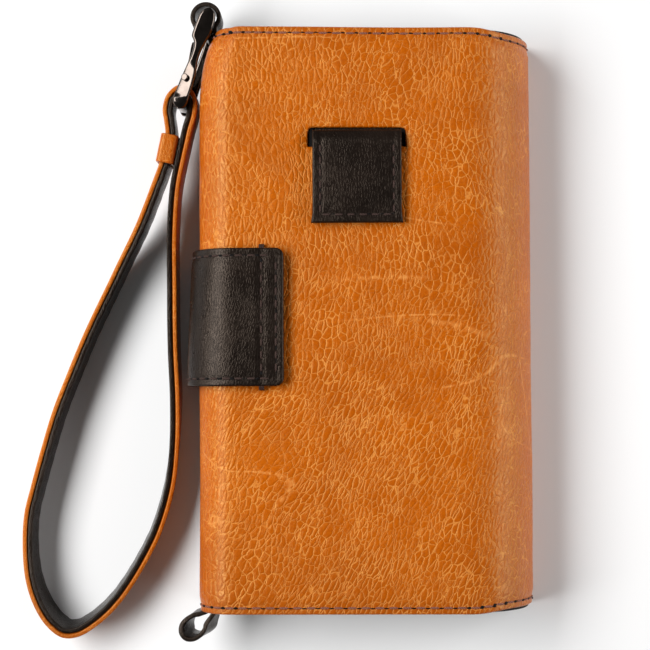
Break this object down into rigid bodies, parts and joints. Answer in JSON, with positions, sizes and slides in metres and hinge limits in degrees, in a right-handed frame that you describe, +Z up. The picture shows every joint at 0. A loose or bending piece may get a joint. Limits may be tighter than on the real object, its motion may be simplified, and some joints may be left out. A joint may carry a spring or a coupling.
{
  "type": "phone wallet case",
  "caption": "Leather folio case for a phone, with card pockets, a wrapping magnetic closure tab, a pull tab and a clip-on wrist strap.",
  "frame": {"origin": "on the face that the closed wallet lies on (the front cover), midway between its spine and its opening edge and midway along its length", "axes": "+Z up through the closed wallet to the back cover, +X to the spine, +Y to the top of the phone"},
  "size_m": [0.1375, 0.1721, 0.0267],
  "materials": {
    "orange_leather": "waxed full-grain leather, tan orange, pebbled and scratched, semi-gloss",
    "black_leather": "brown-black fine-grain leather, semi-gloss, stitched",
    "lining_suede": "black microsuede lining, matte",
    "binders_board": "grey-brown pressed fibre board, matte",
    "tray_plastic": "black moulded polycarbonate, fine matte texture",
    "gunmetal": "polished gunmetal plating, dark and glossy",
    "plated_steel": "nickel-plated flat steel"
  },
  "bodies": {
    "card_half": {"front_leather": "orange_leather", "front_board": "binders_board", "front_lining": "lining_suede", "clasp_seat_pad": "black_leather", "striker_plate": "plated_steel", "card_pocket_1": "lining_suede", "card_pocket_2": "lining_suede", "card_pocket_3": "lining_suede"},
    "spine": {"spine_leather": "orange_leather", "spine_lining": "lining_suede"},
    "phone_half": {"back_leather": "orange_leather", "back_board": "binders_board", "back_lining": "lining_suede", "phone_tray": "tray_plastic", "phone_pad": "lining_suede", "clasp_base_outer": "black_leather", "clasp_base_inner": "black_leather", "pull_tab_root": "black_leather", "loop_top": "black_leather", "loop_bottom": "black_leather"},
    "clasp_wall": {"clasp_wall_outer": "black_leather", "clasp_wall_inner": "black_leather"},
    "clasp_tip": {"clasp_tip_outer": "black_leather", "clasp_tip_inner": "black_leather", "clasp_magnet": "plated_steel"},
    "pull_tab": {"pull_tab_back": "black_leather", "pull_tab_front": "black_leather"},
    "clip": {"clip_frame": "gunmetal", "gate_rivet": "gunmetal"},
    "gate": {"clip_gate": "gunmetal"},
    "wrist_strap": {"strap_outer": "orange_leather", "strap_inner": "black_leather", "strap_keeper": "orange_leather"}
  },
  "joints": [
    {"name": "cover_fold", "type": "hinge", "parent": "card_half", "child": "spine", "pos_m": [0.04343, 0, 0.00117], "axis": [0, 1, 0], "range_deg": [0, 90]},
    {"name": "spine_fold", "type": "hinge", "parent": "spine", "child": "phone_half", "pos_m": [0.03901, 0, 0.01851], "axis": [0, 1, 0], "range_deg": [0, 90]},
    {"name": "clasp_fold", "type": "hinge", "parent": "phone_half", "child": "clasp_wall", "pos_m": [-0.04351, 0.0005, 0.02301], "axis": [0, 1, 0], "range_deg": [0, 90]},
    {"name": "clasp_tip_fold", "type": "hinge", "parent": "clasp_wall", "child": "clasp_tip", "pos_m": [-0.04621, 0.0005, 0.0012], "axis": [0, 1, 0], "range_deg": [0, 90]},
    {"name": "pull_tab_lift", "type": "hinge", "parent": "phone_half", "child": "pull_tab", "pos_m": [-0.0025, 0.0498, 0.0244], "axis": [-1, 0, 0], "range_deg": [0, 110]},
    {"name": "clip_swing", "type": "hinge", "parent": "phone_half", "child": "clip", "pos_m": [-0.04221, 0.0813, 0.0128], "axis": [0, 0, 1], "range_deg": [-70, 0]},
    {"name": "gate_spring", "type": "hinge", "parent": "clip", "child": "gate", "pos_m": [-0.04813, 0.06482, 0.0116], "axis": [0, 0, -1], "range_deg": [0, 12], "stiffness_Nm_per_rad": 0.0005},
    {"name": "strap_swing", "type": "hinge", "parent": "clip", "child": "wrist_strap", "pos_m": [-0.04951, 0.05854, 0.0111], "axis": [0, 0, 1], "range_deg": [-60, 0], "deforming": ["strap_outer", "strap_inner"]}
  ],
  "couplings": [
    {"joint": "spine_fold", "follows": "cover_fold", "ratio": 1},
    {"joint": "clasp_tip_fold", "follows": "clasp_fold", "ratio": 1}
  ]
}
